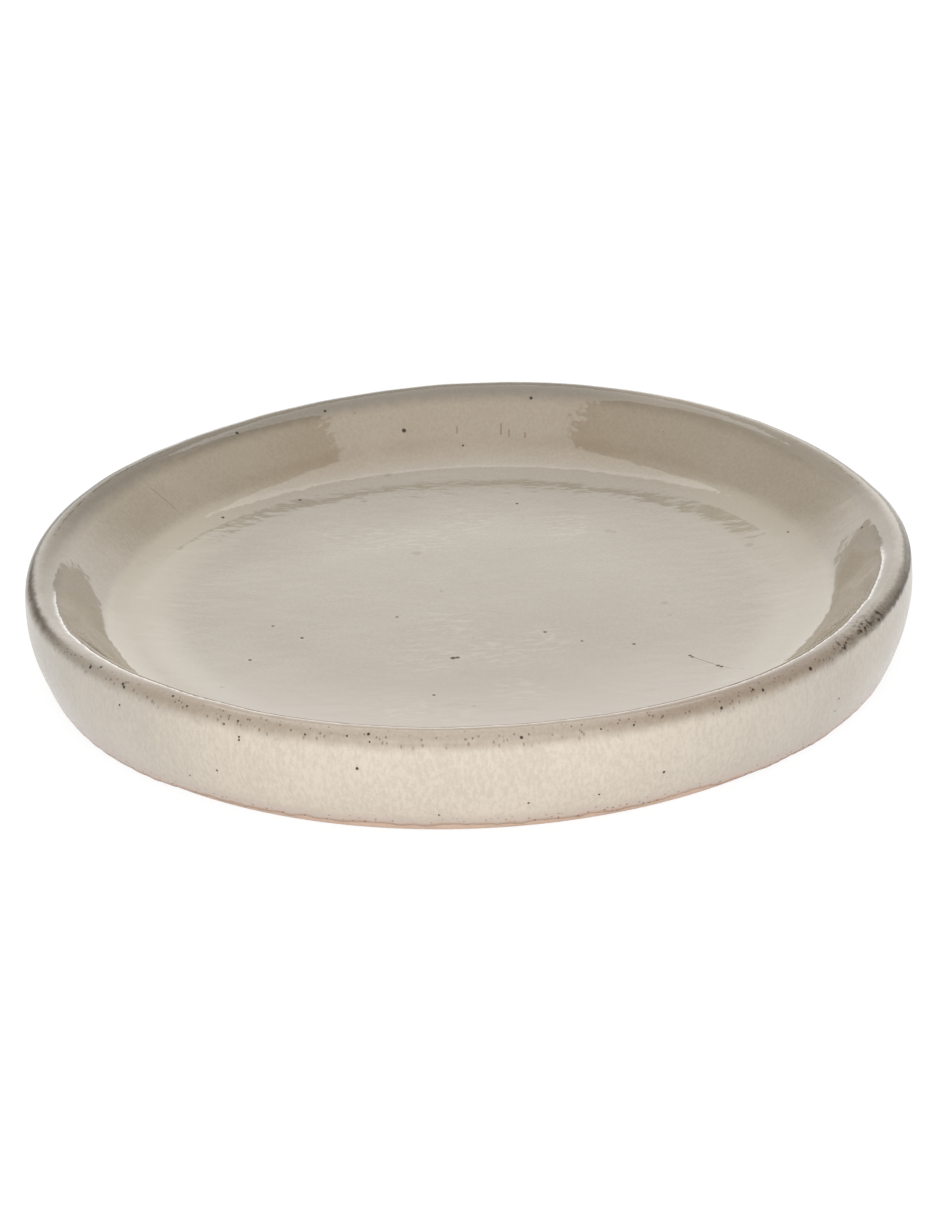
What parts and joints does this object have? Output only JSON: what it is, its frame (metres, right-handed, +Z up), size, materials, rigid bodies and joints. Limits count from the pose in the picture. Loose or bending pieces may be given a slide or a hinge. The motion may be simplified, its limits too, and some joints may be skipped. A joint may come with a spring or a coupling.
{
  "type": "plant saucer",
  "caption": "Round shallow plant saucer of glazed fired clay, with a thick round rim, a sloping inside wall, a flat well for a pot and a bare clay foot ring.",
  "frame": {"origin": "middle of the foot, on the surface that the saucer stands on", "axes": "+Z up along the saucer's axis of revolution; +X to the right and +Y to the back as the picture shows it"},
  "size_m": [0.2, 0.2, 0.023],
  "materials": {
    "glaze": "glossy cream-grey glaze with iron specks, thinner and browner over the rim",
    "clay": "bare fired earthenware, matt and orange-pink"
  },
  "bodies": {
    "root": {"clay_body": "clay", "glaze_coat": "glaze"}
  },
  "joints": []
}
